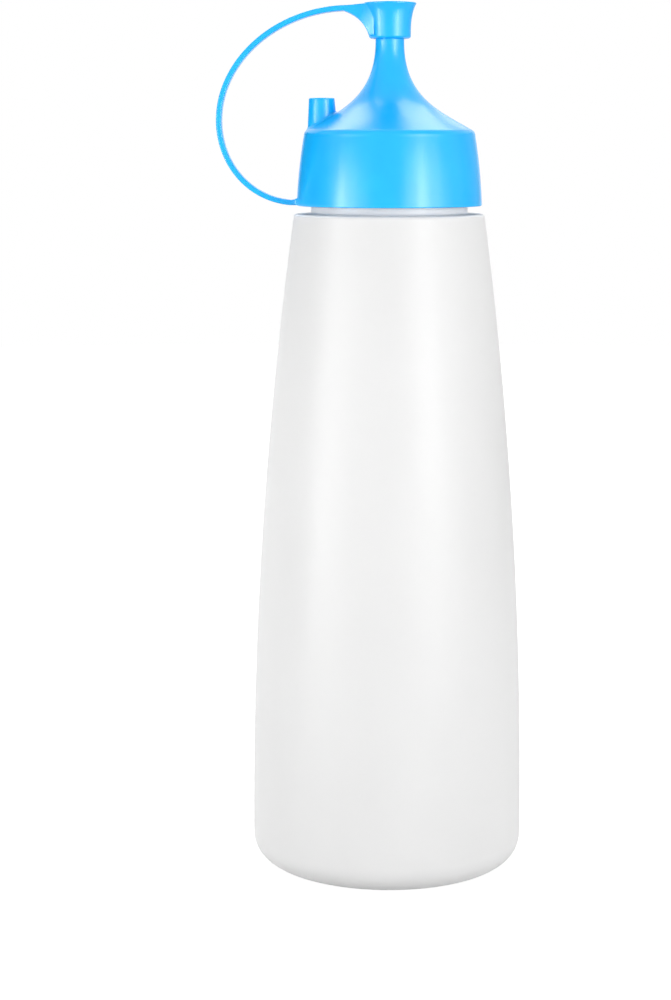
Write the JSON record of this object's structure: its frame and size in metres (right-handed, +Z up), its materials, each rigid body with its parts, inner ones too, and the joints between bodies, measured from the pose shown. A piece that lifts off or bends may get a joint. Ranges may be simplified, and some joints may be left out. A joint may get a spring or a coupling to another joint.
{
  "type": "sauce bottle",
  "caption": "Translucent squeeze bottle for sauce with a flared nozzle screw cap, a tip cap on a curved strap and a parking post.",
  "frame": {"origin": "on the bottle's axis, in the plane that it stands on", "axes": "+Z up along the bottle's axis, +X to the right as seen from the front, so the strap and the parking post are on the -X side; -Y faces the viewer"},
  "size_m": [0.0818, 0.0728, 0.2294],
  "materials": {
    "bottle_plastic": "frosted translucent natural polyethylene, satin, with the wall's edge showing at the sides",
    "cap_plastic": "bright sky-blue polyethylene, smooth and glossy, slightly soft",
    "washer_foam": "off-white polyethylene foam, matt"
  },
  "bodies": {
    "bottle": {"bottle_body": "bottle_plastic"},
    "seal": {"sealing_washer": "washer_foam"},
    "cap": {"screw_cap": "cap_plastic", "strap_lower": "cap_plastic"},
    "tip": {"tip_cap": "cap_plastic", "strap_upper": "cap_plastic"}
  },
  "joints": [
    {"name": "cap_rise", "type": "slide", "parent": "bottle", "child": "seal", "axis": [0, 0, 1], "range_m": [0, 0.02]},
    {"name": "cap_turn", "type": "hinge", "parent": "seal", "child": "cap", "pos_m": [0, 0, 0.19], "axis": [0, 0, 1], "range_deg": [0, 1440]},
    {"name": "tip_cap_swing", "type": "hinge", "parent": "cap", "child": "tip", "pos_m": [-0.03355, 0, 0.2202], "axis": [0, -1, 0], "range_deg": [0, 110]}
  ],
  "couplings": [
    {"joint": "cap_rise", "follows": "cap_turn", "m_per_rad": 0.00079577}
  ]
}
